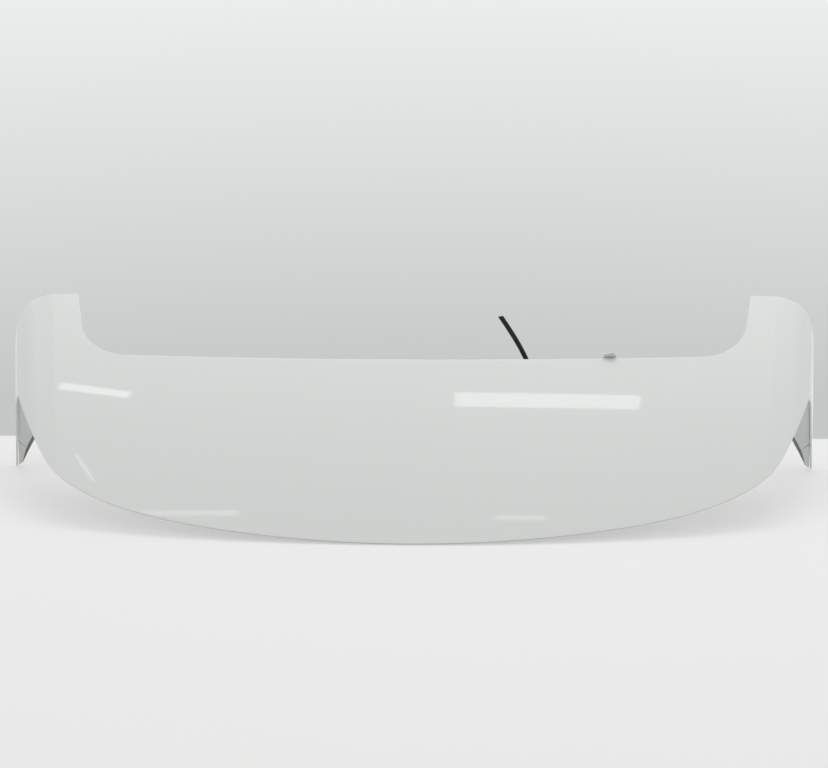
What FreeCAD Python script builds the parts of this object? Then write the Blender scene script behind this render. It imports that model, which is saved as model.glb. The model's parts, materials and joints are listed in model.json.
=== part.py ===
import FreeCAD, Part
import math
import os

V = FreeCAD.Vector

# Design axes: X across the car, Y forward from the trailing edge, Z up from the blade.
# The finished part is then tipped back to stand on its two fin tips and its trailing edge.

# Skins and joints
wall = 2.8                # painted outer skin
inner_wall = 2.5          # lower skin and fin covers
bond_gap = 0.3            # glue line between the skins
cover_gap = 0.4           # joint line round each fin cover
cover_rise = 1.5          # the covers end this far above the cheeks' tips

# Crown and shoulders of the outer skin
crease_half = 536.0       # half width at the shoulder creases, at the horn fronts
side_taper = 0.15         # how fast the sides draw in towards the rear
crown_drop = 16.0         # fall of the crown from the middle to the crease
camber_centre = 200.0     # where the blade is highest, forward of the trailing edge
camber_radius = 1500.0
ramp_length = 26.0        # flat ramp outside the crease
ramp_angle = math.radians(12.0)
shoulder_radius = 48.0
cheek_angle = math.radians(79.5)

# Plan of the blade
horn_front = 432.0
horn_inner = 498.0        # inner corner of a horn, half width
horn_corner = 544.0       # where the horn front starts to round back
horn_radius = 50.0
horn_side_lean = 0.22     # the inner side of a horn leans outward going forward
notch_radius = 80.0
lead_centre = 294.0       # leading edge at the middle
lead_bow = 13.7           # it comes forward by this much at lead_station
lead_station = 400.0
trail_station = 500.0
trail_bow = 81.8          # sweep of the trailing edge at trail_station
trail_hook = 37.0
shoulder_sweep = 0.8      # extra sweep over the shoulder
shoulder_blend = 10.0
apex_x = 566.0            # where the trailing edge turns down into the cheek
apex_z = -40.0

# Side view of a cheek and fin
tip_y = 217.5
tip_z = -158.0
tip_radius = 7.0
cheek_slope = 0.642       # rise of the cheek's lower front edge

# Underside and the face that lies on the tailgate
under_angle = math.radians(13.0)
fin_under_angle = math.radians(80.0)
lip_inset = 3.0
arch_top = -34.0          # tailgate arch above the fin tips' station, at the middle
arch_half = 580.0
arch_power = 8
arch_foot = 3.0           # the arch stays this far above the cheek's lower edge
joint_angle = math.radians(42.0)
joint_x = 583.0
joint_z = -108.0

# Fasteners and seals
stud_stations = (-400.0, -130.0, 130.0, 400.0)
stud_y = 243.0
stud_r = 3.0
stud_length = 20.0        # thread beyond the gasket
shoulder_r = 4.0          # plain shoulder through the boss and gasket
head_r = 8.0
head_h = 2.5
boss_r = 14.0
boss_h = 3.0              # boss face above the mounting face
boss_sink = 9.0           # depth of the boss behind that face
fit_gap = 0.15
gasket_r = 12.5
gasket_h = 5.0
clip_stations = (-270.0, 0.0, 300.0)
clip_y = 252.0
clip_shank_r = 2.6
clip_barb_r = 4.6
clip_length = 17.0
clip_barbs = 4
seal_width = 8.0
seal_height = 4.0
seal_half = 566.0
tape_height = 1.2
pad_height = 6.0
pad_length = 46.0
pad_width = 30.0
pad_x = 505.0
pad_y = 352.0
tape_inner = 540.0
tape_outer = 572.0
tape_y = 262.0
tape_length = 58.0

# Locating hook at the right of the leading edge
hook_x = 281.0
hook_width = 18.0
hook_wall = 2.5
hook_rise = 10.0
hook_clear = 3.0

# Washer jet and its hose
hose_r = 3.5
hose_bore = 2.0
hose_x = 164.0
exit_y = 214.0
grommet_r = 8.0
grommet_flange = 2.5
grommet_collar = 5.0
jet_y = 112.0
jet_r = 7.0
jet_flange_r = 12.0
jet_flange = 2.5
jet_height = 17.0
jet_gasket = 1.0
ball_r = 3.2
barb_r = 1.9
barb_length = 16.0

# Free end of the hose, standing up behind the leading edge, in the finished part's own axes
hose_route = ((164.0, 18.9, 94.3), (164.0, 44.0, 84.3), (164.0, 71.0, 91.8), (163.5, 88.0, 114.0),
              (163.0, 92.0, 146.0), (158.0, 92.0, 185.0), (143.0, 91.0, 222.0), (124.0, 90.0, 246.0))


def camber(y):
    """Height of the blade's middle line above the trailing edge."""
    return (camber_centre ** 2 - (y - camber_centre) ** 2) / (2 * camber_radius)


def crease_x(y):
    return crease_half - side_taper * (horn_front - y)


def trail_y(x):
    """Plan of the trailing edge, with its quicker sweep over the shoulder."""
    u = (x / trail_station) ** 2
    past = abs(x) - trail_station
    soft = 0.5 * (past + math.sqrt(past ** 2 + shoulder_blend ** 2))
    return trail_bow * u + trail_hook * u ** 4 + shoulder_sweep * soft


def lead_y(x):
    return lead_centre + lead_bow * (x / lead_station) ** 2


def crown_radius(y):
    return (crease_x(y) ** 2 + crown_drop ** 2) / (2 * crown_drop)


def half_profile(y, inset):
    """Points of the right half of the skin's section at y, moved inward by inset."""
    chord = crease_x(y)
    top = camber(y)
    crown_angle = math.asin(chord / crown_radius(y))
    middle = 0.5 * (crown_angle + ramp_angle)
    mitre = inset / math.cos(0.5 * (ramp_angle - crown_angle))
    crease = (chord - mitre * math.sin(middle), top - crown_drop - mitre * math.cos(middle))
    end = (chord + ramp_length * math.cos(ramp_angle),
           top - crown_drop - ramp_length * math.sin(ramp_angle))
    centre = (end[0] - shoulder_radius * math.sin(ramp_angle),
              end[1] - shoulder_radius * math.cos(ramp_angle))

    def on_arc(angle):
        r = shoulder_radius - inset
        return (centre[0] + r * math.sin(angle), centre[1] + r * math.cos(angle))

    return {"crown": (0.0, top - inset), "crease": crease, "ramp": on_arc(ramp_angle),
            "arc": on_arc(0.5 * (ramp_angle + cheek_angle)), "cheek": on_arc(cheek_angle)}


def skin_z(x, y, inset):
    """Height of the skin at x, y on the crown, ramp and shoulder, moved inward by inset."""
    x = abs(x)
    p = half_profile(y, inset)
    if x <= p["crease"][0]:
        r = crown_radius(y)
        return camber(y) - r + math.sqrt((r - inset) ** 2 - x ** 2)
    if x <= p["ramp"][0]:
        return p["crease"][1] - (x - p["crease"][0]) * math.tan(ramp_angle)
    r = shoulder_radius - inset
    centre_x = p["ramp"][0] - r * math.sin(ramp_angle)
    centre_z = p["ramp"][1] - r * math.cos(ramp_angle)
    reach = min(x - centre_x, r * math.sin(cheek_angle))
    return centre_z + math.sqrt(r ** 2 - reach ** 2)


def arch_z(x, y):
    """Height of the tailgate face under the part at x, y."""
    half = arch_half + side_taper * (y - tip_y)
    depth = arch_top - (tip_z + arch_foot)
    return arch_top - depth * (abs(x) / half) ** arch_power + cheek_slope * (y - tip_y)


def polygon(points):
    return Part.makePolygon([V(*p) for p in points] + [V(*points[0])])


def loft(wires, ruled=False):
    return Part.makeLoft(wires, True, ruled)


def skin_section(y, inset, foot):
    """Closed wire of the whole section at y, from cheek to cheek, shut at the foot."""
    p = half_profile(y, inset)
    run = (p["cheek"][1] - foot) / math.tan(cheek_angle)
    toe = (p["cheek"][0] + run, foot)

    def at(point, side):
        return V(side * point[0], y, point[1])

    def arc(a, b, c):
        return Part.Arc(a, b, c).toShape()

    def line(a, b):
        return Part.LineSegment(a, b).toShape()

    edges = [arc(at(p["crease"], -1), at(p["crown"], 1), at(p["crease"], 1)),
             line(at(p["crease"], 1), at(p["ramp"], 1)),
             arc(at(p["ramp"], 1), at(p["arc"], 1), at(p["cheek"], 1)),
             line(at(p["cheek"], 1), at(toe, 1)),
             line(at(toe, 1), at(toe, -1)),
             line(at(toe, -1), at(p["cheek"], -1)),
             arc(at(p["cheek"], -1), at(p["arc"], -1), at(p["ramp"], -1)),
             line(at(p["ramp"], -1), at(p["crease"], -1))]
    return Part.Wire(edges)


def skin_solid(inset):
    """Everything under the skin, moved inward by inset."""
    past = 40.0 + inset
    first = -past
    last = horn_front + past
    foot = tip_z - 40.0 - inset
    steps = 6
    stations = [first + (last - first) * i / steps for i in range(steps + 1)]
    return loft([skin_section(y, inset, foot) for y in stations])


def cheek_prism():
    """Side view of a cheek below the apex, with its rounded tip, right across the part."""
    reach = crease_half + 200.0
    front_top = tip_y + (apex_z - tip_z) / cheek_slope
    side_view = Part.Face(polygon([(-reach, trail_y(apex_x), apex_z), (-reach, tip_y, tip_z),
                                   (-reach, front_top, apex_z)]))
    prism = side_view.extrude(V(2 * reach, 0, 0))
    tips = [e for e in prism.Edges if abs(e.CenterOfMass.z - tip_z) < 1e-6]
    return prism.makeFillet(tip_radius, tips)


def trim():
    """The blade's plan above the apex and the cheek's side view below it."""
    reach = crease_half + 200.0
    top = 200.0
    count = 24
    edge = [V(apex_x * i / count, trail_y(apex_x * i / count), 0) for i in range(-count, count + 1)]
    trailing = Part.BSplineCurve()
    trailing.interpolate(edge)

    corner_run = shoulder_radius + ramp_length * math.cos(ramp_angle) - ramp_length
    drop = horn_radius - math.sqrt(horn_radius ** 2 - corner_run ** 2)
    half_run = 0.6 * corner_run
    half_drop = horn_radius - math.sqrt(horn_radius ** 2 - half_run ** 2)
    front_end = (horn_corner + corner_run, horn_front - drop)
    front_mid = (horn_corner + half_run, horn_front - half_drop)

    side_angle = math.atan2(1.0, horn_side_lean)
    lead_angle = math.atan2(2 * lead_bow * horn_inner / lead_station ** 2, 1.0)
    corner_y = lead_y(horn_inner - horn_side_lean * (horn_front - lead_y(horn_inner)))
    corner_x = horn_inner - horn_side_lean * (horn_front - corner_y)
    half_turn = 0.5 * (side_angle - lead_angle)
    tangent = notch_radius * math.tan(half_turn)
    side_end = (corner_x + tangent * math.cos(side_angle), corner_y + tangent * math.sin(side_angle))
    lead_end_x = corner_x - tangent * math.cos(lead_angle)
    lead_end = (lead_end_x, lead_y(lead_end_x))
    bulge = notch_radius / math.cos(half_turn) - notch_radius
    bisect = 0.5 * (side_angle + lead_angle + math.pi)
    notch_mid = (corner_x + bulge * math.cos(bisect), corner_y + bulge * math.sin(bisect))

    def at(point, side=1):
        return V(side * point[0], point[1], 0)

    def line(a, b):
        return Part.LineSegment(a, b).toShape()

    def side_edges(side):
        apex = at((apex_x, trail_y(apex_x)), side)
        out_rear = at((reach, trail_y(apex_x)), side)
        out_front = at((reach, front_end[1]), side)
        return [line(apex, out_rear), line(out_rear, out_front), line(out_front, at(front_end, side)),
                Part.Arc(at(front_end, side), at(front_mid, side),
                         at((horn_corner, horn_front), side)).toShape(),
                line(at((horn_corner, horn_front), side), at((horn_inner, horn_front), side)),
                line(at((horn_inner, horn_front), side), at(side_end, side)),
                Part.Arc(at(side_end, side), at(notch_mid, side), at(lead_end, side)).toShape()]

    lead = Part.Arc(at(lead_end), V(0, lead_centre, 0), at(lead_end, -1)).toShape()
    plan = Part.Wire(Part.__sortEdges__(
        [trailing.toShape()] + side_edges(1) + [lead] + side_edges(-1)))
    upper = Part.Face(plan).extrude(V(0, 0, top - apex_z))
    upper.translate(V(0, 0, apex_z))

    return upper.fuse(cheek_prism()).removeSplitter()


def under_surface(lift):
    """Everything below the blade's underside, which steepens towards the fins."""
    deep = 400.0
    back = 60.0
    ahead = 330.0
    share = (0.0, 0.3, 0.5, 0.65, 0.77, 0.86, 0.92, 0.965, 1.0)
    stations = [apex_x * s for s in share] + [apex_x + 60.0]
    stations = [-x for x in reversed(stations[1:])] + stations
    wires = []
    for x in stations:
        held = min(abs(x), apex_x)
        slope = under_angle + (fin_under_angle - under_angle) * (held / apex_x) ** 10
        y = trail_y(held) + lip_inset
        z = skin_z(held, y, wall) + lift / math.cos(min(slope, 1.2))
        rear = (y - back * math.cos(slope), z + back * math.sin(slope))
        front = (y + ahead * math.cos(slope), z - ahead * math.sin(slope))
        wires.append(polygon([(x, rear[0], rear[1]), (x, front[0], front[1]),
                              (x, front[0], front[1] - deep), (x, rear[0] - deep, front[1] - deep),
                              (x, rear[0] - deep, rear[1])]))
    return loft(wires)


def rear_void(lift):
    """The open space behind the part, under the blade and between the fins."""
    reach = crease_half + 150.0
    top = (trail_y(apex_x), apex_z)
    foot = (tip_y, tip_z)
    lean = (foot[0] - top[0]) / (top[1] - foot[1])
    high = 100.0
    low = tip_z - 150.0
    rear = -300.0
    inset = lift + 1.0
    fin_face = polygon([(-reach, top[0] - lean * high + inset, top[1] + high),
                        (-reach, top[0] + lean * (top[1] - low) + inset, low),
                        (-reach, rear, low), (-reach, rear, top[1] + high)])
    behind = Part.Face(fin_face).extrude(V(2 * reach, 0, 0))
    return under_surface(lift).common(behind)


def tailgate(lift):
    """The tailgate that the part sits on, raised by lift."""
    count = 28
    raise_z = lift / math.cos(math.atan(cheek_slope))
    wires = []
    for y in (-60.0, horn_front + 80.0):
        half = (arch_half + side_taper * (y - tip_y)) * 1.06
        points = []
        for i in range(-count, count + 1):
            x = half * math.sin(0.5 * math.pi * i / count)
            slope = arch_power * (arch_top - tip_z) / arch_half * (abs(x) / half) ** (arch_power - 1)
            points.append(V(x, y, arch_z(x, y) + raise_z * math.sqrt(1 + slope ** 2)))
        arch = Part.BSplineCurve()
        arch.interpolate(points)
        low = arch_z(half, y) - 200.0
        base = [points[-1], V(half, y, low), V(-half, y, low), points[0]]
        sides = [Part.LineSegment(base[i], base[i + 1]).toShape() for i in range(3)]
        wires.append(Part.Wire([arch.toShape()] + sides))
    return loft(wires, True)


def face_frame(x, y):
    """Foot on the tailgate face at x, y, with its outward direction."""
    lean = math.atan(cheek_slope)
    return V(x, y, arch_z(x, y)), V(0, math.sin(lean), -math.cos(lean))


def rod(foot, way, radius, start, end):
    return Part.makeCylinder(radius, end - start, foot + way * start, way)


def build_skins():
    """Outer skin, and the hollow lower shell that closes it underneath."""
    upper = skin_solid(0.0).cut(skin_solid(wall)).common(trim())
    room = skin_solid(wall + bond_gap)
    core = room.cut(rear_void(0.0)).cut(tailgate(0.0))
    hollow = room.cut(rear_void(inner_wall)).cut(tailgate(inner_wall))
    return upper, core.cut(hollow)


def split_fins(shell):
    """Cut the two fin covers from the lower skin at the joint line."""
    size = 300.0
    covers = []
    outline = cheek_prism()
    outline.translate(V(0, 0, cover_rise))
    for side in (-1, 1):
        across = V(side * math.cos(joint_angle), 0, -math.sin(joint_angle))
        point = V(side * joint_x, 0, joint_z)
        turn = FreeCAD.Rotation(V(1, 0, 0), across)
        beyond = []
        for shift in (0.5 * cover_gap, -0.5 * cover_gap):
            block = Part.makeBox(size, 4 * size, size, V(0, -2 * size, -size / 2))
            block.Placement = FreeCAD.Placement(point + across * shift, turn)
            beyond.append(block)
        covers.append(shell.common(beyond[0]).common(outline))
        shell = shell.cut(beyond[1])
    return shell, covers


def studs_and_gaskets(lower):
    """Bosses on the lower skin, each with a headed stud and a foam ring."""
    studs, rings = [], []
    for x in stud_stations:
        foot, way = face_frame(x, stud_y)
        lower = lower.fuse(rod(foot, way, boss_r, -boss_sink, boss_h))
        lower = lower.cut(rod(foot, way, shoulder_r + fit_gap, -3 * boss_sink, 2 * boss_h))
        outside = boss_h + gasket_h
        stud = rod(foot, way, head_r, -boss_sink - head_h, -boss_sink)
        stud = stud.fuse(rod(foot, way, shoulder_r, -boss_sink, outside))
        stud = stud.fuse(rod(foot, way, stud_r, outside, outside + stud_length))
        studs.append(stud.removeSplitter())
        ring = rod(foot, way, gasket_r, boss_h, outside)
        rings.append(ring.cut(rod(foot, way, shoulder_r + fit_gap, 0.0, 2 * outside)))
    return lower, Part.makeCompound(studs), Part.makeCompound(rings)


def retainer_clips(lower):
    """Barbed push clips, turned about their axis and headed behind the lower skin."""
    clips = []
    for x in clip_stations:
        foot, way = face_frame(x, clip_y)
        seat_r = head_r + 2.0
        lower = lower.fuse(rod(foot, way, seat_r, -boss_sink, boss_h))
        lower = lower.cut(rod(foot, way, clip_shank_r + fit_gap, -3 * boss_sink, 2 * boss_h))
        outline = [(0, -boss_sink - head_h), (head_r, -boss_sink - head_h), (head_r, -boss_sink),
                   (clip_shank_r, -boss_sink), (clip_shank_r, boss_h + 1.0)]
        pitch = (clip_length - 1.0) / clip_barbs
        for i in range(clip_barbs):
            start = boss_h + 1.0 + i * pitch
            outline.append((clip_barb_r, start))
            outline.append((clip_shank_r * 0.8, start + 0.9 * pitch))
        outline.append((0, boss_h + clip_length))
        face = Part.Face(polygon([(r, 0, h) for r, h in outline]))
        clip = face.revolve(V(0, 0, 0), V(0, 0, 1), 360)
        clip.Placement = FreeCAD.Placement(foot, FreeCAD.Rotation(V(0, 0, 1), way))
        clips.append(clip)
    return lower, Part.makeCompound(clips)


def locating_hook(lower):
    """Peaked tab that reaches under the leading edge and up in front of it."""
    edge_y = lead_y(hook_x)
    low = skin_z(hook_x, edge_y, wall) - hook_clear - hook_wall
    root = tip_y + (low - arch_top) / cheek_slope - inner_wall
    front = edge_y + hook_clear
    peak = skin_z(hook_x, edge_y, 0.0) + hook_rise
    left = hook_x - 0.5 * hook_width
    floor = Part.makeBox(hook_width, front + hook_wall - root, hook_wall, V(left, root, low))
    face = Part.Face(polygon([(left, front, low), (left + hook_width, front, low),
                              (left + hook_width, front, peak - 0.7 * hook_rise),
                              (left + 0.7 * hook_width, front, peak),
                              (left, front, peak - 0.5 * hook_rise)]))
    return lower.fuse(floor).fuse(face.extrude(V(0, hook_wall, 0))).removeSplitter()


def strip_along_glass():
    """Soft seal on the tailgate face, just inside the rear line of that face."""
    lean = math.atan(cheek_slope)
    step = V(0, seal_width * math.cos(lean), seal_width * math.sin(lean))
    behind = rear_void(0.0)
    ahead = behind.copy()
    ahead.translate(step)
    layer = tailgate(-fit_gap).cut(tailgate(-fit_gap - seal_height))
    band = Part.makeBox(2 * seal_half, 900, 600, V(-seal_half, -200, -400))
    return layer.common(band).common(ahead).cut(behind)


def fin_tapes():
    """Thin adhesive strips on the tailgate side of each fin."""
    layer = tailgate(-fit_gap).cut(tailgate(-fit_gap - tape_height))
    tapes = []
    for side in (-1, 1):
        first = min(side * tape_inner, side * tape_outer)
        box = Part.makeBox(tape_outer - tape_inner, tape_length, 600, V(first, tape_y, -400))
        tapes.append(layer.common(box))
    return tapes


def horn_pads():
    """Foam pads that follow the inside of each horn."""
    layer = skin_solid(wall + fit_gap).cut(skin_solid(wall + fit_gap + pad_height))
    pads = []
    for side in (-1, 1):
        first = min(side * pad_x, side * (pad_x + pad_width))
        pads.append(layer.common(Part.makeBox(pad_width, pad_length, 100, V(first, pad_y, -60))))
    return pads


def washer_jet(lower):
    """Jet through the underside, with its ball, gasket and hose barb."""
    start = trail_y(0.0) + lip_inset
    foot = V(0, jet_y, skin_z(0.0, start, wall) - (jet_y - start) * math.tan(under_angle))
    way = V(0, -math.sin(under_angle), -math.cos(under_angle))
    lower = lower.cut(rod(foot, way, jet_r + fit_gap, -2 * jet_height, jet_height))
    body = rod(foot, way, jet_r, -jet_height, jet_gasket)
    body = body.fuse(rod(foot, way, jet_flange_r, jet_gasket, jet_gasket + jet_flange))
    depth = 0.6 * jet_height
    root = foot - way * depth
    body = body.fuse(Part.makeCylinder(barb_r, jet_r + barb_length, root, V(1, 0, 0)))
    ball_seat = foot + way * (jet_gasket + jet_flange - 0.35 * ball_r)
    body = body.cut(Part.makeSphere(ball_r + fit_gap, ball_seat)).removeSplitter()
    ball = Part.makeSphere(ball_r, ball_seat)
    ring = rod(foot, way, jet_flange_r, 0.0, jet_gasket)
    ring = ring.cut(rod(foot, way, jet_r + fit_gap, -1.0, 2 * jet_gasket))
    return lower, body, ball, ring, root + V(jet_r + 1.0, 0, 0)


def grommet(lower):
    """Rubber grommet that leads the hose out of the tailgate face."""
    foot, way = face_frame(hose_x, exit_y)
    hole = grommet_r - 2.5
    lower = lower.cut(rod(foot, way, hole + fit_gap, -3 * inner_wall, 2 * inner_wall))
    inner_end = -inner_wall - 2.0
    body = rod(foot, way, hole, inner_end, grommet_flange)
    body = body.fuse(rod(foot, way, grommet_r, fit_gap, grommet_flange))
    body = body.fuse(rod(foot, way, hole, 0.0, grommet_flange + grommet_collar))
    body = body.cut(rod(foot, way, hose_r + fit_gap, 3 * inner_end, 3 * grommet_flange + grommet_collar))
    return lower, body.removeSplitter(), foot + way * (grommet_flange + grommet_collar), way


def rounded_path(points):
    """Straight runs joined by arcs as large as the two runs at each corner allow."""
    edges = []
    last = points[0]
    for i in range(1, len(points) - 1):
        before, here, after = points[i - 1], points[i], points[i + 1]
        come = (here - before).normalize()
        go = (after - here).normalize()
        turn = come.getAngle(go)
        reach = 0.45 * min((here - before).Length, (after - here).Length)
        radius = reach / math.tan(0.5 * turn)
        bisect = (go - come).normalize()
        first, final = here - come * reach, here + go * reach
        middle = here + bisect * (radius / math.cos(0.5 * turn) - radius)
        edges.append(Part.LineSegment(last, first).toShape())
        edges.append(Part.Arc(first, middle, final).toShape())
        print("bend radius %.1f turn %.0f" % (radius, math.degrees(turn)))
        last = final
    edges.append(Part.LineSegment(last, points[-1]).toShape())
    return Part.Wire(edges)


def hose(points):
    """Round hose with its bore, swept along a path of runs and arcs."""
    path = rounded_path(points)
    way = points[1] - points[0]
    tubes = []
    for radius in (hose_r, hose_bore):
        ring = Part.Wire([Part.makeCircle(radius, points[0], way)])
        tubes.append(path.makePipeShell([ring], True, True))
    tube = tubes[0].cut(tubes[1])
    section = math.pi * (hose_r ** 2 - hose_bore ** 2)
    print("hose volume %.1f, section by length %.1f" % (tube.Volume, section * path.Length))
    return tube


def inner_hose_points(start, end, way):
    """From the jet's barb across the hollow, then forward and out through the grommet."""
    step = 26.0
    dip = V(0, math.cos(0.5), -math.sin(0.5))
    last = end - way * step
    over = last - dip * step
    back = over - V(0, step, 0)
    turn_1 = back - V(step * 0.5, step * 0.866, 3.0)
    turn_2 = V(turn_1.x - step * 0.866, start.y, start.z)
    return [start, turn_2, turn_1, back, over, last, end]


def main():
    os.makedirs("parts", exist_ok=True)
    upper, shell = build_skins()
    lower, covers = split_fins(shell)
    lower, studs, rings = studs_and_gaskets(lower)
    lower, clips = retainer_clips(lower)
    lower = locating_hook(lower)
    lower, jet, ball, jet_ring, barb = washer_jet(lower)
    lower, collar, exit_point, exit_way = grommet(lower)
    pads = horn_pads()
    tapes = fin_tapes()
    pieces = {"upper_skin": upper, "lower_skin": lower,
              "left_fin_cover": covers[0], "right_fin_cover": covers[1],
              "glass_seal": strip_along_glass(), "left_fin_tape": tapes[0], "right_fin_tape": tapes[1],
              "left_horn_pad": pads[0], "right_horn_pad": pads[1],
              "mounting_studs": studs, "stud_gaskets": rings, "retainer_clips": clips,
              "washer_jet": jet, "jet_nozzle": ball, "jet_gasket": jet_ring, "hose_grommet": collar,
              "washer_hose_inner": hose(inner_hose_points(barb, exit_point, exit_way))}

    tilt = math.atan2(-wall - tip_z, tip_y - trail_y(0.0))
    lean = FreeCAD.Placement(V(0, 0, 0), FreeCAD.Rotation(V(1, 0, 0), math.degrees(tilt)))
    upper.Placement = lean
    box = upper.optimalBoundingBox(False, False)
    stand = FreeCAD.Placement(V(0, -0.5 * (box.YMin + box.YMax), -box.ZMin), lean.Rotation)
    for shape in pieces.values():
        shape.Placement = stand.multiply(shape.Placement) if shape is not upper else stand
    print("hose leaves at", stand.multVec(exit_point), "way", lean.multVec(exit_way))
    pieces["washer_hose"] = hose([V(*p) for p in hose_route])

    for name, shape in pieces.items():
        print(name, len(shape.Solids), shape.isValid(), round(shape.Volume))
        shape.exportStep("parts/%s.step" % name)


main()
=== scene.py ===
"""White tailgate spoiler: painted skin, underside moulding, seals, fasteners and a washer hose stub."""
import json
import math

import bmesh
import bpy
from mathutils import Matrix, Vector


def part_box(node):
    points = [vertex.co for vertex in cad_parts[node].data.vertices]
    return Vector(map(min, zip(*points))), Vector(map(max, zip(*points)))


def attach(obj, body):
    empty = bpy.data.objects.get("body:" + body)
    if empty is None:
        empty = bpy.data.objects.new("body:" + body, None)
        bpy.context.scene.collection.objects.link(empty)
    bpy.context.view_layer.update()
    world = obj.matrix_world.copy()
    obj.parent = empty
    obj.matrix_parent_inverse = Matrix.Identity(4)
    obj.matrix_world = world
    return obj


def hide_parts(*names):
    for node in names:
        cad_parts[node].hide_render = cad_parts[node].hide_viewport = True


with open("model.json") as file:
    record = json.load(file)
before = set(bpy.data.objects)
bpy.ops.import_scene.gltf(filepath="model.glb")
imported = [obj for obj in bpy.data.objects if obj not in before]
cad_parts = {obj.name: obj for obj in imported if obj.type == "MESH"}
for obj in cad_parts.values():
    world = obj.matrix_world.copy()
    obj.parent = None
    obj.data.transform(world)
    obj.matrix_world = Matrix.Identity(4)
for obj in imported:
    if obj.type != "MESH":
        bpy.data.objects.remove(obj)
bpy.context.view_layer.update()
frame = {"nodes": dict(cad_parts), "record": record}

# Sizes of the skin in metres, in the blade's own axes: across, forward from the trailing edge, up
SKIN_WALL = 0.0028
SKIN_CLEAR = 0.0002       # taken off the wall, so that it clears the moulding under it
RIM_ROUND = 0.0009
SKIN_COLUMNS = 301
SKIN_ROWS = 81
CREASE_HALF = 0.536
SIDE_TAPER = 0.15
CROWN_DROP = 0.016
CAMBER_CENTRE = 0.200
CAMBER_RADIUS = 1.500
RAMP_LENGTH = 0.026
RAMP_ANGLE = math.radians(12.0)
SHOULDER_RADIUS = 0.048
CHEEK_ANGLE = math.radians(79.5)
HORN_FRONT = 0.432
HORN_INNER = 0.498
HORN_CORNER = 0.544
HORN_RADIUS = 0.050
HORN_RUN = SHOULDER_RADIUS + RAMP_LENGTH * math.cos(RAMP_ANGLE) - RAMP_LENGTH
HORN_SIDE_LEAN = 0.22
NOTCH_RADIUS = 0.080
LEAD_CENTRE = 0.294
LEAD_BOW = 0.0137
LEAD_STATION = 0.400
TRAIL_STATION = 0.500
TRAIL_BOW = 0.0818
TRAIL_HOOK = 0.037
SHOULDER_SWEEP = 0.8
SHOULDER_BLEND = 0.010
APEX_X = 0.566
APEX_Z = -0.0295
TIP_Y = 0.2145            # the fin tips reach the ground here; the solid's end a little above it
TIP_Z = -0.1618
TIP_RADIUS = 0.0025
CHEEK_SLOPE = 0.642
REST_Y = 0.2175           # point of the solid whose height sets the lean
REST_Z = -0.158

# Ends of the fin covers and the seal, drawn out to the fin tips
COVER_DRAW = 0.0125       # how far a cover's outer corner comes down
COVER_INNER = 0.5674
COVER_OUTER = 0.5815
SEAL_START = 0.535        # where across the part the seal's ends begin to draw out
SEAL_DRAW = Vector((0.0125, 0.0122, -0.0231))

# Camera
FRAME_WIDTH = 828
FOCAL_PIXELS = 1800.0
SENSOR = 36.0
CAMERA_TARGET = Vector((0.0020, 0.0166, 0.1564))
CAMERA_DISTANCE = 2.539
CAMERA_RISE = math.radians(20.0)
CAMERA_YAW = math.radians(0.61)

# Washer hose
HOSE_DIAMETER = 0.007
HOSE_ROUTE = ((0.1640, 0.0189, 0.0943), (0.1640, 0.0440, 0.0843), (0.1660, 0.0715, 0.0854),
              (0.1725, 0.0915, 0.1056), (0.1750, 0.0940, 0.1400), (0.1620, 0.0920, 0.1720),
              (0.1440, 0.0905, 0.2055), (0.1245, 0.0900, 0.2345))
HOSE_BORE = 0.004
CUT_SLANT = 0.7           # slope of the cut across the free end

# Studs, measured from the boss outward
STUD_HEAD = 0.0025
STUD_HEAD_RADIUS = 0.008
STUD_SHOULDER = 0.017
STUD_SHOULDER_RADIUS = 0.004
STUD_THREAD = 0.020
STUD_RADIUS = 0.003
THREAD_PITCH = 0.001
THREAD_DEPTH = 0.00055
THREAD_LEAD = 0.0012      # length of the point at the free end
STUD_SIDES = 24
STUD_RINGS = 200

# Room
FLOOR_END = 0.204         # where the floor meets the backdrop, seen from the camera
FLOOR_GLOW = 0.5          # share of the floor that stays pale in shade, for the eye only
FLOOR_HALF = 6.0
FLOOR_DROP = 0.0004       # keeps the floor just clear of the part
FLOOR_BLEND = 0.006
GREY_HEIGHT = -0.34       # height of the view's direction where the backdrop is greyest, and palest
PALE_HEIGHT = -0.13
SKY_EVEN, SKY_OVERHEAD, SKY_SIDES = 0.24, 0.50, 0.36
LAMP_HEIGHT = 2.6


def blade_to_row():
    """Turns blade axes into the row frame: the part stands on its fin tips and trailing edge."""
    lip = Vector((0.0, trail_y(0.0, math.sqrt), 0.0))
    turn = Matrix.Rotation(math.atan2(-SKIN_WALL - REST_Z, REST_Y - lip.y), 4, "X")
    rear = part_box("upper_skin")[0].y - (turn @ lip).y
    rise = -(turn @ (lip - Vector((0.0, 0.0, SKIN_WALL)))).z
    return Matrix.Translation(Vector((0.0, rear, rise))) @ turn


class Field:
    """A number on the mesh in a node tree, written with plain arithmetic."""

    tree = None

    def __init__(self, socket):
        self.socket = socket

    @classmethod
    def math(cls, operation, *values):
        node = cls.tree.nodes.new("ShaderNodeMath")
        node.operation = operation
        for slot, value in zip(node.inputs, values):
            if isinstance(value, Field):
                cls.tree.links.new(value.socket, slot)
            else:
                slot.default_value = value
        return cls(node.outputs[0])

    def __add__(self, other):
        return Field.math("ADD", self, other)

    def __radd__(self, other):
        return Field.math("ADD", other, self)

    def __sub__(self, other):
        return Field.math("SUBTRACT", self, other)

    def __rsub__(self, other):
        return Field.math("SUBTRACT", other, self)

    def __mul__(self, other):
        return Field.math("MULTIPLY", self, other)

    def __rmul__(self, other):
        return Field.math("MULTIPLY", other, self)

    def __truediv__(self, other):
        return Field.math("DIVIDE", self, other)

    def __pow__(self, power):
        return Field.math("POWER", self, power)


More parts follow.
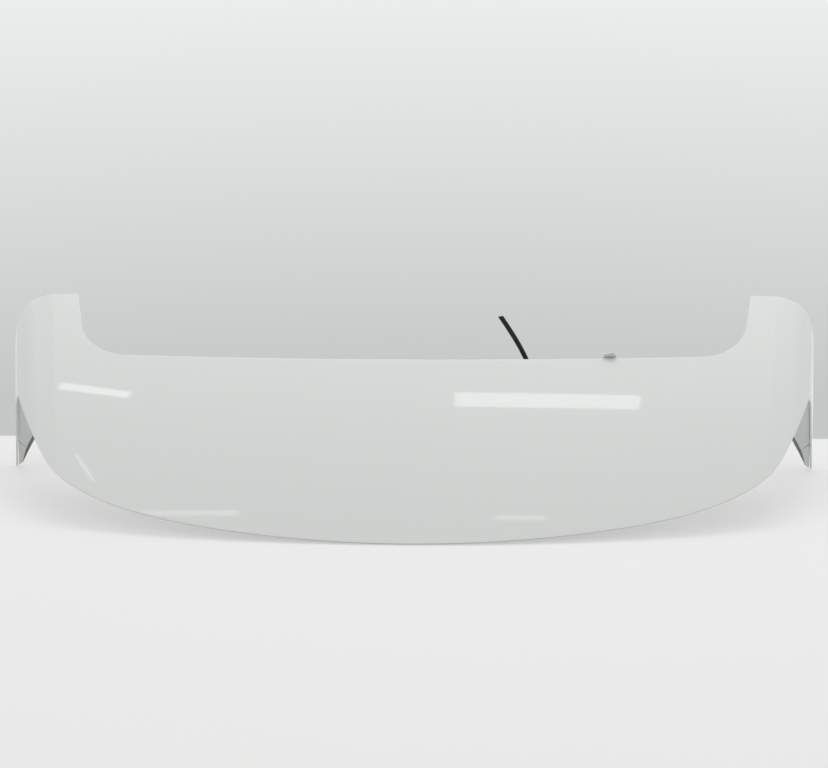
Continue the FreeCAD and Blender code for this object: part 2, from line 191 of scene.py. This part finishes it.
def root(value):
    return Field.math("SQRT", Field.math("MAXIMUM", value, 0.0))


def sine(value):
    return Field.math("SINE", value)


def cosine(value):
    return Field.math("COSINE", value)


def least(a, b):
    return Field.math("MINIMUM", a, b)


def most(a, b):
    return Field.math("MAXIMUM", a, b)


def size(value):
    return Field.math("ABSOLUTE", value)


def choose(test, yes, no):
    """yes where test is 1, no where it is 0."""
    return yes * test + no * (1.0 - test)


def above(value, limit):
    return Field.math("GREATER_THAN", value, limit)


def share(value, start, end):
    """0 up to start, 1 from end on, and straight between them."""
    node = Field.tree.nodes.new("ShaderNodeMapRange")
    Field.tree.links.new(value.socket, node.inputs["Value"])
    node.inputs["From Min"].default_value = start
    node.inputs["From Max"].default_value = end
    return Field(node.outputs["Result"])


def through(value, stops):
    """Runs straight through the (value, result) stops, held at both ends."""
    result = stops[0][1]
    for (start, low), (end, high) in zip(stops, stops[1:]):
        result = share(value, start, end) * (high - low) + result
    return result


def camber(y):
    return (CAMBER_CENTRE ** 2 - (y - CAMBER_CENTRE) ** 2.0) * (0.5 / CAMBER_RADIUS)


def crease_x(y):
    return CREASE_HALF - SIDE_TAPER * (HORN_FRONT - y)


def trail_y(x, square_root):
    u = (x / TRAIL_STATION) ** 2.0
    past = x - TRAIL_STATION
    soft = 0.5 * (past + square_root(past ** 2.0 + SHOULDER_BLEND ** 2))
    return TRAIL_BOW * u + TRAIL_HOOK * u ** 4.0 + SHOULDER_SWEEP * soft


def lead_y(x):
    return LEAD_CENTRE + LEAD_BOW * (x / LEAD_STATION) ** 2.0


def settle(start, step, rounds):
    """Repeats step until the value no longer moves."""
    value = start
    for _ in range(rounds):
        value = step(value)
    return value


def notch():
    """Where the round of the roof notch leaves the leading edge and the horn's side, and its centre."""
    side_angle = math.atan2(1.0, HORN_SIDE_LEAN)
    lead_angle = math.atan(2.0 * LEAD_BOW * HORN_INNER / LEAD_STATION ** 2)
    corner_y = lead_y(HORN_INNER - HORN_SIDE_LEAN * (HORN_FRONT - lead_y(HORN_INNER)))
    corner = Vector((HORN_INNER - HORN_SIDE_LEAN * (HORN_FRONT - corner_y), corner_y))
    half_turn = 0.5 * (side_angle - lead_angle)
    run = NOTCH_RADIUS * math.tan(half_turn)
    side_end = corner + run * Vector((math.cos(side_angle), math.sin(side_angle)))
    lead_x = corner.x - run * math.cos(lead_angle)
    bisect = 0.5 * (side_angle + lead_angle + math.pi)
    centre = corner + NOTCH_RADIUS / math.cos(half_turn) * Vector((math.cos(bisect), math.sin(bisect)))
    return Vector((lead_x, lead_y(lead_x))), side_end, centre


# Where along the half width each stretch of the skin ends, as shares of the mesh's columns
LEAD_SHARE, NOTCH_SHARE, SIDE_SHARE, CROWN_SHARE = 0.33, 0.41, 0.50, 0.56
RAMP_SHARE, ARC_SHARE = 0.62, 0.78


def crown_place(a, v):
    """Plan of the crown: straight lines from the trailing edge to the front outline."""
    crease_rear = settle(CREASE_HALF, lambda x: crease_x(trail_y(x, math.sqrt)), 40)
    lead_end, side_end, centre = notch()
    rear_x = through(a, ((0.0, 0.0), (LEAD_SHARE, 0.80 * crease_rear), (NOTCH_SHARE, 0.87 * crease_rear),
                         (SIDE_SHARE, 0.94 * crease_rear), (CROWN_SHARE, crease_rear)))
    rear_y = trail_y(rear_x, root)

    start = math.atan2(lead_end.y - centre.y, lead_end.x - centre.x)
    end = math.atan2(side_end.y - centre.y, side_end.x - centre.x)
    angle = through(a, ((LEAD_SHARE, start), (NOTCH_SHARE, end)))
    lead_x = through(a, ((0.0, 0.0), (LEAD_SHARE, lead_end.x)))
    side_x = through(a, ((NOTCH_SHARE, side_end.x), (SIDE_SHARE, HORN_INNER), (CROWN_SHARE, CREASE_HALF)))
    side_y = through(a, ((NOTCH_SHARE, side_end.y), (SIDE_SHARE, HORN_FRONT)))
    past_lead = above(a, LEAD_SHARE)
    past_notch = above(a, NOTCH_SHARE)
    front_x = choose(past_notch, side_x, choose(past_lead, centre.x + NOTCH_RADIUS * cosine(angle), lead_x))
    front_y = choose(past_notch, side_y,
                     choose(past_lead, centre.y + NOTCH_RADIUS * sine(angle), lead_y(lead_x)))
    return rear_x + (front_x - rear_x) * v, rear_y + (front_y - rear_y) * v


def crown_z(x, y):
    radius = (crease_x(y) ** 2.0 + CROWN_DROP ** 2) / (2.0 * CROWN_DROP)
    return camber(y) - radius + root(radius ** 2.0 - x ** 2.0)


def side_profile(a, cheek_length):
    """How far out of the crease, and how far below it, the ramp, shoulder and cheek are."""
    ramp = through(a, ((CROWN_SHARE, 0.0), (RAMP_SHARE, RAMP_LENGTH)))
    angle = through(a, ((RAMP_SHARE, RAMP_ANGLE), (ARC_SHARE, CHEEK_ANGLE)))
    cheek = through(a, ((ARC_SHARE, 0.0), (1.0, cheek_length)))
    out = (ramp * math.cos(RAMP_ANGLE) + SHOULDER_RADIUS * (sine(angle) - math.sin(RAMP_ANGLE))
           + cheek * math.cos(CHEEK_ANGLE))
    down = (ramp * math.sin(RAMP_ANGLE) + SHOULDER_RADIUS * (math.cos(RAMP_ANGLE) - cosine(angle))
            + cheek * math.sin(CHEEK_ANGLE))
    return out, down


def tip_circle():
    """Centre of the round at a fin's tip in side view, and the heights where it meets both edges."""
    apex_y = trail_y(APEX_X, math.sqrt)
    rear = Vector((apex_y - TIP_Y, APEX_Z - TIP_Z)).normalized()
    front = Vector((1.0, CHEEK_SLOPE)).normalized()
    bisect = (rear + front).normalized()
    reach = TIP_RADIUS / math.sin(0.5 * rear.angle(front))
    centre = Vector((TIP_Y, TIP_Z)) + reach * bisect
    return centre, centre.y + TIP_RADIUS * rear.x, centre.y - TIP_RADIUS * front.x


def side_place(a, v):
    """Plan and height of the skin beyond the crease, down to the fin's tip."""
    apex_y = trail_y(APEX_X, math.sqrt)
    lean = (apex_y - TIP_Y) / (APEX_Z - TIP_Z)
    centre, rear_touch, front_touch = tip_circle()
    arc_drop = (RAMP_LENGTH * math.sin(RAMP_ANGLE)
                + SHOULDER_RADIUS * (math.cos(RAMP_ANGLE) - math.cos(CHEEK_ANGLE)))
    foot = centre.y - 0.999 * TIP_RADIUS
    crease_z = camber(centre.x) - CROWN_DROP
    out, down = side_profile(a, (crease_z - arc_drop - foot) / math.sin(CHEEK_ANGLE))

    def height(y):
        return camber(y) - CROWN_DROP - down

    def round_tip(z):
        return root(TIP_RADIUS ** 2 - (z - centre.y) ** 2.0)

    def rear_step(y):
        x = least(crease_x(y) + out, APEX_X)
        z = height(y)
        line = least(trail_y(x, root), apex_y + (z - APEX_Z) * lean)
        return choose(above(z, rear_touch), line, centre.x - round_tip(z))

    def front_step(y):
        past = most(crease_x(y) + out - HORN_CORNER, 0.0)
        corner = HORN_FRONT - HORN_RADIUS + root(HORN_RADIUS ** 2 - least(past, HORN_RUN) ** 2.0)
        z = height(y)
        line = least(corner, TIP_Y + (z - TIP_Z) / CHEEK_SLOPE)
        return choose(above(z, front_touch), line, centre.x + round_tip(z))

    middle = out * 0.0 + TIP_Y
    rear_y = settle(middle, rear_step, 9)
    front_y = settle(middle + 0.15, front_step, 9)
    y = rear_y + (front_y - rear_y) * v
    return crease_x(y) + out, y, height(y)


def inputs_of(tree, entries):
    """Adds named inputs to a node tree's interface."""
    for name, kind, value in entries:
        entry = tree.interface.new_socket(name, in_out="INPUT", socket_type="NodeSocket" + kind)
        if value is not None:
            entry.default_value = value


def skin_tree():
    """Node tree that shapes a flat grid into the outer skin."""
    tree = bpy.data.node_groups.new("skin_shape", "GeometryNodeTree")
    Field.tree = tree
    inputs_of(tree, (("Columns", "Int", SKIN_COLUMNS), ("Rows", "Int", SKIN_ROWS),
                     ("Finish", "Material", None)))
    tree.interface.new_socket("Geometry", in_out="OUTPUT", socket_type="NodeSocketGeometry")
    node, link = tree.nodes.new, tree.links.new
    given = node("NodeGroupInput")
    made = node("NodeGroupOutput")
    grid = node("GeometryNodeMeshGrid")
    link(given.outputs["Columns"], grid.inputs["Vertices X"])
    link(given.outputs["Rows"], grid.inputs["Vertices Y"])
    grid.inputs["Size X"].default_value = 2.0
    grid.inputs["Size Y"].default_value = 1.0

    place = node("ShaderNodeSeparateXYZ")
    link(node("GeometryNodeInputPosition").outputs[0], place.inputs[0])
    across = Field(place.outputs["X"])
    a = size(across)
    v = Field(place.outputs["Y"]) + 0.5
    crown_x, crown_y = crown_place(a, v)
    side_x, side_y, side_z = side_place(a, v)
    beyond = above(a, CROWN_SHARE + 1e-4)
    x = choose(beyond, side_x, crown_x) * Field.math("SIGN", across)
    y = choose(beyond, side_y, crown_y)
    z = choose(beyond, side_z, crown_z(crown_x, crown_y))

    point = node("ShaderNodeCombineXYZ")
    for field, name in ((x, "X"), (y, "Y"), (z, "Z")):
        link(field.socket, point.inputs[name])
    shape = node("GeometryNodeSetPosition")
    link(grid.outputs["Mesh"], shape.inputs["Geometry"])
    link(point.outputs[0], shape.inputs["Position"])
    real = node("GeometryNodeRealizeInstances")
    paint = node("GeometryNodeSetMaterial")
    link(shape.outputs[0], real.inputs[0])
    link(real.outputs[0], paint.inputs["Geometry"])
    link(given.outputs["Finish"], paint.inputs["Material"])
    link(paint.outputs[0], made.inputs[0])
    return tree


def grown(name, tree, points=(), **values):
    """A plain mesh object grown by a node tree from its points and named inputs."""
    seed = bpy.data.meshes.new(name + "_seed")
    seed.from_pydata(points, [], [])
    carrier = bpy.data.objects.new(name + "_seed", seed)
    bpy.context.collection.objects.link(carrier)
    rule = carrier.modifiers.new("rule", "NODES")
    rule.node_group = tree
    for entry in tree.interface.items_tree:
        key = entry.name.lower().replace(" ", "_")
        if entry.in_out == "INPUT" and key in values:
            rule[entry.identifier] = values[key]
    return baked(carrier, name)


def baked(carrier, name):
    """Turns a carrier with modifiers into a plain mesh object."""
    bpy.context.view_layer.update()
    ready = carrier.evaluated_get(bpy.context.evaluated_depsgraph_get())
    mesh = bpy.data.meshes.new_from_object(ready)
    mesh.name = name
    bpy.data.objects.remove(carrier)
    piece = bpy.data.objects.new(name, mesh)
    bpy.context.collection.objects.link(piece)
    return piece


def outer_skin(finish):
    """The painted skin with its wall and its rounded rim."""
    sheet = grown("skin_sheet", skin_tree(), columns=SKIN_COLUMNS, rows=SKIN_ROWS, finish=finish)
    sheet.data.transform(blade_to_row())
    wall = sheet.modifiers.new("wall", "SOLIDIFY")
    wall.thickness = SKIN_WALL - SKIN_CLEAR
    wall.offset = -1.0
    rim = sheet.modifiers.new("rim", "BEVEL")
    rim.width = RIM_ROUND
    rim.segments = 3
    rim.angle_limit = math.radians(50.0)
    piece = baked(sheet, "painted_skin")
    piece.data.shade_smooth()
    piece.data.set_sharp_from_angle(angle=math.radians(40.0))
    settle_piece(piece, "upper_skin")


def uneven_surface():
    """Shared rule for every finish: slow mottling of the colour, uneven gloss and a fine relief."""
    tree = bpy.data.node_groups.new("uneven_surface", "ShaderNodeTree")
    inputs_of(tree, (("Colour", "Color", (0.8, 0.8, 0.8, 1.0)), ("Mottle", "Float", 0.03),
                     ("Mottle scale", "Float", 9.0), ("Gloss", "Float", 0.4), ("Gloss spread", "Float", 0.05),
                     ("Relief", "Float", 0.05), ("Relief scale", "Float", 400.0)))
    for name, kind in (("Colour", "Color"), ("Roughness", "Float"), ("Normal", "Vector")):
        tree.interface.new_socket(name, in_out="OUTPUT", socket_type="NodeSocket" + kind)
    node, link = tree.nodes.new, tree.links.new
    given, made = node("NodeGroupInput"), node("NodeGroupOutput")
    place = node("ShaderNodeTexCoord").outputs["Object"]

    def noise(scale, detail):
        cloud = node("ShaderNodeTexNoise")
        cloud.inputs["Detail"].default_value = detail
        link(place, cloud.inputs["Vector"])
        link(given.outputs[scale], cloud.inputs["Scale"])
        return cloud.outputs["Fac"]

    Field.tree = tree
    slow = Field(noise("Mottle scale", 4.0)) - 0.5
    fine = Field(noise("Relief scale", 2.0))
    bright = 1.0 + slow * Field(given.outputs["Mottle"]) * 2.0
    tint = node("ShaderNodeVectorMath")
    tint.operation = "SCALE"
    link(given.outputs["Colour"], tint.inputs[0])
    link(bright.socket, tint.inputs["Scale"])
    gloss = Field(given.outputs["Gloss"]) + slow * Field(given.outputs["Gloss spread"]) * 2.0
    bump = node("ShaderNodeBump")
    bump.inputs["Distance"].default_value = 0.0004
    link(given.outputs["Relief"], bump.inputs["Strength"])
    link(fine.socket, bump.inputs["Height"])
    link(tint.outputs[0], made.inputs["Colour"])
    link(gloss.socket, made.inputs["Roughness"])
    link(bump.outputs[0], made.inputs["Normal"])
    return tree


def backdrop_tone():
    """Colour of the plain backdrop in a direction: paler high up, greyer behind the object."""
    tree = bpy.data.node_groups.new("backdrop_tone", "ShaderNodeTree")
    inputs_of(tree, (("Direction", "Vector", (0.0, 1.0, 0.0)),))
    tree.interface.new_socket("Colour", in_out="OUTPUT", socket_type="NodeSocketColor")
    given, made = tree.nodes.new("NodeGroupInput"), tree.nodes.new("NodeGroupOutput")
    parts = tree.nodes.new("ShaderNodeSeparateXYZ")
    tree.links.new(given.outputs["Direction"], parts.inputs[0])
    Field.tree = tree
    height = share(Field(parts.outputs["Z"]), GREY_HEIGHT, PALE_HEIGHT)
    tone = tree.nodes.new("ShaderNodeMix")
    tone.data_type = "RGBA"
    tone.inputs["A"].default_value = (0.555, 0.575, 0.563, 1.0)
    tone.inputs["B"].default_value = (0.845, 0.860, 0.852, 1.0)
    tree.links.new(height.socket, tone.inputs["Factor"])
    tree.links.new(tone.outputs["Result"], made.inputs["Colour"])
    return tree


def use(tree, group):
    """A group node of that kind in a material or world."""
    node = tree.nodes.new("ShaderNodeGroup")
    node.node_tree = group
    return node


def finish(name, colour, gloss, settings=None, **shader_values):
    """A finish from the shared surface rule, with the shader's own constants."""
    made = bpy.data.materials.new(name)
    made.use_nodes = True
    tree = made.node_tree
    shader = tree.nodes["Principled BSDF"]
    rule = use(tree, SURFACE)
    rule.inputs["Colour"].default_value = (*colour, 1.0)
    rule.inputs["Gloss"].default_value = gloss
    for key, value in (settings or {}).items():
        rule.inputs[key].default_value = value
    for output, socket in (("Colour", "Base Color"), ("Roughness", "Roughness"), ("Normal", "Normal")):
        tree.links.new(rule.outputs[output], shader.inputs[socket])
    for key, value in shader_values.items():
        shader.inputs[key.replace("_", " ")].default_value = value
    return made


def finishes():
    """Every finish of the part, by the name of its slot."""
    smooth = {"Mottle": 0.008, "Gloss spread": 0.02, "Relief": 0.012, "Relief scale": 320.0}
    satin = {"Mottle": 0.02, "Relief": 0.05, "Relief scale": 900.0}
    soft = {"Mottle": 0.08, "Mottle scale": 30.0, "Relief": 0.35, "Relief scale": 1200.0}
    cells = {"Mottle": 0.15, "Mottle scale": 160.0, "Relief": 0.8, "Relief scale": 900.0}
    drawn = {"Mottle": 0.05, "Mottle scale": 120.0, "Gloss spread": 0.08, "Relief": 0.04}
    return {
        "white_gloss_paint": finish("white_gloss_paint", (0.785, 0.802, 0.787), 0.35, smooth,
                                    Coat_Weight=1.0, Coat_Roughness=0.035),
        "white_satin_moulding": finish("white_satin_moulding", (0.77, 0.79, 0.775), 0.42, satin),
        "black_seal_rubber": finish("black_seal_rubber", (0.27, 0.285, 0.275), 0.75, soft),
        "adhesive_tape": finish("adhesive_tape", (0.10, 0.10, 0.105), 0.85, soft),
        "pad_foam": finish("pad_foam", (0.06, 0.06, 0.062), 0.95, cells),
        "zinc_steel": finish("zinc_steel", (0.62, 0.62, 0.60), 0.34, drawn, Metallic=1.0),
        "clip_nylon": finish("clip_nylon", (0.75, 0.74, 0.70), 0.45, satin, Subsurface_Weight=0.1),
        "black_moulding": finish("black_moulding", (0.022, 0.022, 0.023), 0.4, satin),
        "nozzle_brass": finish("nozzle_brass", (0.75, 0.56, 0.27), 0.28, drawn, Metallic=1.0),
        "hose_rubber": finish("hose_rubber", (0.012, 0.012, 0.013), 0.58, soft, Specular_IOR_Level=0.3),
    }


def dress(nodes, subparts):
    """Gives every solid of the frame its finish."""
    for subpart in subparts:
        mesh = nodes[subpart["node"]].data
        mesh.materials.clear()
        mesh.materials.append(FINISH[subpart["material_slot"]])


def settle_piece(piece, node):
    """Puts a finished piece on the body, in place of a solid."""
    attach(piece, "root")
    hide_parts(node)


def held(value, start, end):
    """0 up to start, 1 from end on, and straight between them."""
    return min(max((value - start) / (end - start), 0.0), 1.0)


def drawn_out(node, name, slot, move):
    """A copy of a solid's mesh whose points follow a rule, in the solid's place."""
    work = bmesh.new()
    work.from_mesh(frame["nodes"][node].data)
    bmesh.ops.remove_doubles(work, verts=work.verts, dist=1e-6)
    for vertex in work.verts:
        vertex.co += move(vertex.co)
    mesh = bpy.data.meshes.new(name)
    work.to_mesh(mesh)
    work.free()
    mesh.materials.append(FINISH[slot])
    mesh.shade_smooth()
    mesh.set_sharp_from_angle(angle=math.radians(30.0))
    piece = bpy.data.objects.new(name, mesh)
    bpy.context.collection.objects.link(piece)
    settle_piece(piece, node)


def fin_ends():
    """Covers and seal carried down to the fin tips."""
    for side in ("left", "right"):
        low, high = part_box(side + "_fin_cover")

        def cover_move(place):
            fall = held(high.z - place.z, 0.0, high.z - low.z)
            return Vector((0.0, 0.0, -COVER_DRAW * fall ** 3 * held(abs(place.x), COVER_INNER, COVER_OUTER)))

        drawn_out(side + "_fin_cover", side + "_fin_cap", "white_satin_moulding", cover_move)
    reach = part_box("glass_seal")[1].x

    def seal_move(place):
        draw = held(abs(place.x), SEAL_START, reach) ** 2 * SEAL_DRAW
        return Vector((math.copysign(draw.x, place.x), draw.y, draw.z))

    drawn_out("glass_seal", "fin_to_fin_seal", "black_seal_rubber", seal_move)


def route_points():
    """Points on the smooth line of the hose's route."""
    line = bpy.data.curves.new("hose_line", "CURVE")
    line.dimensions = "3D"
    spline = line.splines.new("NURBS")
    spline.points.add(len(HOSE_ROUTE) - 1)
    for point, place in zip(spline.points, HOSE_ROUTE):
        point.co = (*place, 1.0)
    spline.order_u = 3
    spline.use_endpoint_u = True
    spline.resolution_u = 20
    holder = bpy.data.objects.new("hose_line", line)
    mesh = bpy.data.meshes.new_from_object(holder)
    points = [vertex.co.copy() for vertex in mesh.vertices]
    bpy.data.objects.remove(holder)
    bpy.data.meshes.remove(mesh)
    return points


def washer_hose(sides=28):
    """Hollow hose along its route, cut across at a slant at the free end."""
    points = route_points()
    ways = [(after - before).normalized()
            for before, after in zip(points[:1] + points[:-1], points[1:] + points[-1:])]
    aside = Vector((1.0, 0.0, 0.0))
    verts, faces = [], []
    for radius in (0.5 * HOSE_DIAMETER, 0.5 * HOSE_BORE):
        for i, (point, way) in enumerate(zip(points, ways)):
            aside = (aside - way * aside.dot(way)).normalized()
            lift = way.cross(aside)
            last = i == len(points) - 1
            for k in range(sides):
                angle = 2.0 * math.pi * k / sides
                out = radius * (math.cos(angle) * aside + math.sin(angle) * lift)
                slant = -CUT_SLANT * out.x - 0.5 * CUT_SLANT * HOSE_DIAMETER if last else 0.0
                verts.append(point + out + slant * way)
    rings = len(points)

    def corner(wall, ring, k):
        return (wall * rings + ring) * sides + k % sides

    for k in range(sides):
        for ring in range(rings - 1):
            for wall, turn in ((0, 1), (1, -1)):
                face = [corner(wall, ring, k), corner(wall, ring, k + 1),
                        corner(wall, ring + 1, k + 1), corner(wall, ring + 1, k)]
                faces.append(face[::turn])
        for ring, turn in ((0, -1), (rings - 1, 1)):
            rim = [corner(0, ring, k), corner(0, ring, k + 1), corner(1, ring, k + 1), corner(1, ring, k)]
            faces.append(rim[::turn])
    mesh = bpy.data.meshes.new("washer_tube")
    mesh.from_pydata(verts, [], faces)
    mesh.materials.append(FINISH["hose_rubber"])
    mesh.shade_smooth()
    mesh.set_sharp_from_angle(angle=math.radians(40.0))
    piece = bpy.data.objects.new("washer_tube", mesh)
    bpy.context.collection.objects.link(piece)
    settle_piece(piece, "washer_hose")


def stud_tree():
    """Node tree for the studs: a turned blank with a rolled thread, set along the axis at each point."""
    tree = bpy.data.node_groups.new("stud_row", "GeometryNodeTree")
    Field.tree = tree
    inputs_of(tree, (("Places", "Geometry", None), ("Axis", "Vector", (0.0, 0.0, 1.0)),
                     ("Sides", "Int", STUD_SIDES), ("Rings", "Int", STUD_RINGS),
                     ("Pitch", "Float", THREAD_PITCH), ("Finish", "Material", None)))
    tree.interface.new_socket("Geometry", in_out="OUTPUT", socket_type="NodeSocketGeometry")
    node, link = tree.nodes.new, tree.links.new
    given, made = node("NodeGroupInput"), node("NodeGroupOutput")
    total = STUD_HEAD + STUD_SHOULDER + STUD_THREAD
    blank = node("GeometryNodeMeshCylinder")
    link(given.outputs["Sides"], blank.inputs["Vertices"])
    link(given.outputs["Rings"], blank.inputs["Side Segments"])
    blank.inputs["Depth"].default_value = total

    place = node("ShaderNodeSeparateXYZ")
    link(node("GeometryNodeInputPosition").outputs[0], place.inputs[0])
    x, y = Field(place.outputs["X"]), Field(place.outputs["Y"])
    along = Field(place.outputs["Z"]) + 0.5 * total
    turn = Field.math("ARCTAN2", y, x) / (2.0 * math.pi)
    phase = Field.math("FRACT", along / Field(given.outputs["Pitch"]) - turn)
    ridge = size(2.0 * phase - 1.0)
    point = share(along, total - THREAD_LEAD, total)
    thread = STUD_RADIUS - THREAD_DEPTH * most(ridge, point)
    past_head = above(along, STUD_HEAD)
    shank = STUD_HEAD_RADIUS + past_head * (STUD_SHOULDER_RADIUS - STUD_HEAD_RADIUS)
    radius = choose(above(along, STUD_HEAD + STUD_SHOULDER), thread, shank)
    moved = node("ShaderNodeCombineXYZ")
    middle = along - (STUD_HEAD + STUD_SHOULDER + 0.5 * STUD_THREAD)
    for field, name in ((x * radius, "X"), (y * radius, "Y"), (middle, "Z")):
        link(field.socket, moved.inputs[name])
    shape = node("GeometryNodeSetPosition")
    link(blank.outputs["Mesh"], shape.inputs["Geometry"])
    link(moved.outputs[0], shape.inputs["Position"])

    aim = node("FunctionNodeAlignRotationToVector")
    aim.axis = "Z"
    link(given.outputs["Axis"], aim.inputs["Vector"])
    row = node("GeometryNodeInstanceOnPoints")
    link(given.outputs["Places"], row.inputs["Points"])
    link(shape.outputs[0], row.inputs["Instance"])
    link(aim.outputs[0], row.inputs["Rotation"])
    real = node("GeometryNodeRealizeInstances")
    paint = node("GeometryNodeSetMaterial")
    link(row.outputs[0], real.inputs[0])
    link(real.outputs[0], paint.inputs["Geometry"])
    link(given.outputs["Finish"], paint.inputs["Material"])
    link(paint.outputs[0], made.inputs[0])
    return tree


def threaded_studs(mounts):
    """The mounting studs with their threads, at the places the record gives."""
    piece = grown("threaded_studs", stud_tree(), [mount["pos_m"] for mount in mounts], axis=mounts[0]["axis"],
                  sides=STUD_SIDES, rings=STUD_RINGS, pitch=THREAD_PITCH, finish=FINISH["zinc_steel"])
    piece.data.shade_smooth()
    piece.data.set_sharp_from_angle(angle=math.radians(50.0))
    settle_piece(piece, "mounting_studs")


def camera():
    """Long lens from behind the part, a little above it."""
    data = bpy.data.cameras.new("camera")
    data.sensor_fit = "HORIZONTAL"
    data.sensor_width = SENSOR
    data.lens = SENSOR * FOCAL_PIXELS / FRAME_WIDTH
    holder = bpy.data.objects.new("camera", data)
    away = Vector((math.sin(CAMERA_YAW) * math.cos(CAMERA_RISE),
                   -math.cos(CAMERA_YAW) * math.cos(CAMERA_RISE), math.sin(CAMERA_RISE)))
    holder.location = CAMERA_TARGET + CAMERA_DISTANCE * away
    holder.rotation_euler = (-away).to_track_quat("-Z", "Y").to_euler()
    bpy.context.collection.objects.link(holder)
    bpy.context.scene.camera = holder


def lamp(name, place, width, depth, level, turn=0.0, mirrored=True):
    """A ceiling panel that shines down; level is how bright its face looks, with white as 1."""
    data = bpy.data.lights.new(name, "AREA")
    data.shape = "RECTANGLE"
    data.size, data.size_y = width, depth
    data.energy = level * math.pi * width * depth
    holder = bpy.data.objects.new(name, data)
    holder.location = (*place, LAMP_HEIGHT)
    holder.rotation_euler.z = turn
    holder.visible_glossy = mirrored
    bpy.context.collection.objects.link(holder)


def lamps():
    """A wide soft panel and the strips that show as streaks in the paint."""
    lamp("panel_over_roof", (0.3, 1.15), 3.4, 1.2, 2.5, mirrored=False)
    lamp("strip_right", (0.445, 0.003), 0.65, 0.118, 3.2)
    lamp("strip_left", (-1.147, 0.115), 0.27, 0.056, 3.8, math.radians(-21.0))
    lamp("strip_rear_left", (-0.89, -0.93), 0.42, 0.045, 1.9)
    lamp("strip_rear_right", (0.38, -0.968), 0.19, 0.04, 1.9)
    lamp("strip_side", (-1.234, -0.535), 0.012, 0.23, 3.2, math.radians(10.4))


def floor():
    """Pale floor; from the camera's side its far part takes the backdrop's tone."""
    made = finish("floor_board", (0.86, 0.865, 0.855), 0.55, {"Mottle": 0.006, "Relief": 0.02})
    tree = made.node_tree
    node, link = tree.nodes.new, tree.links.new
    Field.tree = tree
    place = node("ShaderNodeSeparateXYZ")
    link(node("ShaderNodeTexCoord").outputs["Object"], place.inputs[0])
    towards = node("ShaderNodeNewGeometry").outputs["Incoming"]
    facing = node("ShaderNodeSeparateXYZ")
    link(towards, facing.inputs[0])
    eye = Field(node("ShaderNodeLightPath").outputs["Is Camera Ray"])
    behind = share(Field(place.outputs["Y"]), FLOOR_END, FLOOR_END + FLOOR_BLEND)
    hidden = behind * above(0.0 - Field(facing.outputs["Y"]), 0.3) * eye
    pale = node("ShaderNodeEmission")
    pale.inputs["Color"].default_value = (0.885, 0.89, 0.88, 1.0)
    soften = node("ShaderNodeMixShader")
    link((eye * FLOOR_GLOW).socket, soften.inputs[0])
    link(tree.nodes["Principled BSDF"].outputs[0], soften.inputs[1])
    link(pale.outputs[0], soften.inputs[2])
    ray = node("ShaderNodeVectorMath")
    ray.operation = "SCALE"
    ray.inputs["Scale"].default_value = -1.0
    link(towards, ray.inputs[0])
    tone = use(tree, BACKDROP)
    link(ray.outputs[0], tone.inputs["Direction"])
    glow = node("ShaderNodeEmission")
    link(tone.outputs["Colour"], glow.inputs["Color"])
    mix = node("ShaderNodeMixShader")
    link(hidden.socket, mix.inputs[0])
    link(soften.outputs[0], mix.inputs[1])
    link(glow.outputs[0], mix.inputs[2])
    link(mix.outputs[0], tree.nodes["Material Output"].inputs["Surface"])
    mesh = bpy.data.meshes.new("floor")
    corners = ((-1.0, -1.0), (1.0, -1.0), (1.0, 1.0), (-1.0, 1.0))
    mesh.from_pydata([(FLOOR_HALF * x, FLOOR_HALF * y, 0.0) for x, y in corners], [], [(0, 1, 2, 3)])
    mesh.materials.append(made)
    ground = bpy.data.objects.new("floor", mesh)
    ground.location.z = -FLOOR_DROP
    bpy.context.collection.objects.link(ground)


def room():
    """Soft light that is strongest overhead; the eye, metal and glass see the plain backdrop."""
    world = bpy.data.worlds.new("room")
    bpy.context.scene.world = world
    world.use_nodes = True
    tree = world.node_tree
    node, link = tree.nodes.new, tree.links.new
    Field.tree = tree
    way = node("ShaderNodeTexCoord").outputs["Generated"]
    parts = node("ShaderNodeSeparateXYZ")
    link(way, parts.inputs[0])
    tone = use(tree, BACKDROP)
    link(way, tone.inputs["Direction"])
    light = node("ShaderNodeCombineXYZ")
    overhead = most(Field(parts.outputs["Z"]), 0.0)
    glow = SKY_EVEN + SKY_OVERHEAD * overhead + SKY_SIDES * Field(parts.outputs["X"]) ** 2.0
    for name in "XYZ":
        link(glow.socket, light.inputs[name])
    path = node("ShaderNodeLightPath")
    seen = most(most(Field(path.outputs["Is Camera Ray"]), Field(path.outputs["Is Glossy Ray"])),
                Field(path.outputs["Is Transmission Ray"]))
    mix = node("ShaderNodeMix")
    mix.data_type = "RGBA"
    link(seen.socket, mix.inputs["Factor"])
    link(light.outputs[0], mix.inputs["A"])
    link(tone.outputs["Colour"], mix.inputs["B"])
    link(mix.outputs["Result"], tree.nodes["Background"].inputs["Color"])


SURFACE = uneven_surface()
BACKDROP = backdrop_tone()
FINISH = finishes()
dress(frame["nodes"], frame["record"]["subparts"])
outer_skin(FINISH["white_gloss_paint"])
fin_ends()
washer_hose()
threaded_studs(frame["record"]["mounts"])
floor()
room()
lamps()
camera()
bpy.context.scene.view_settings.view_transform = "Standard"
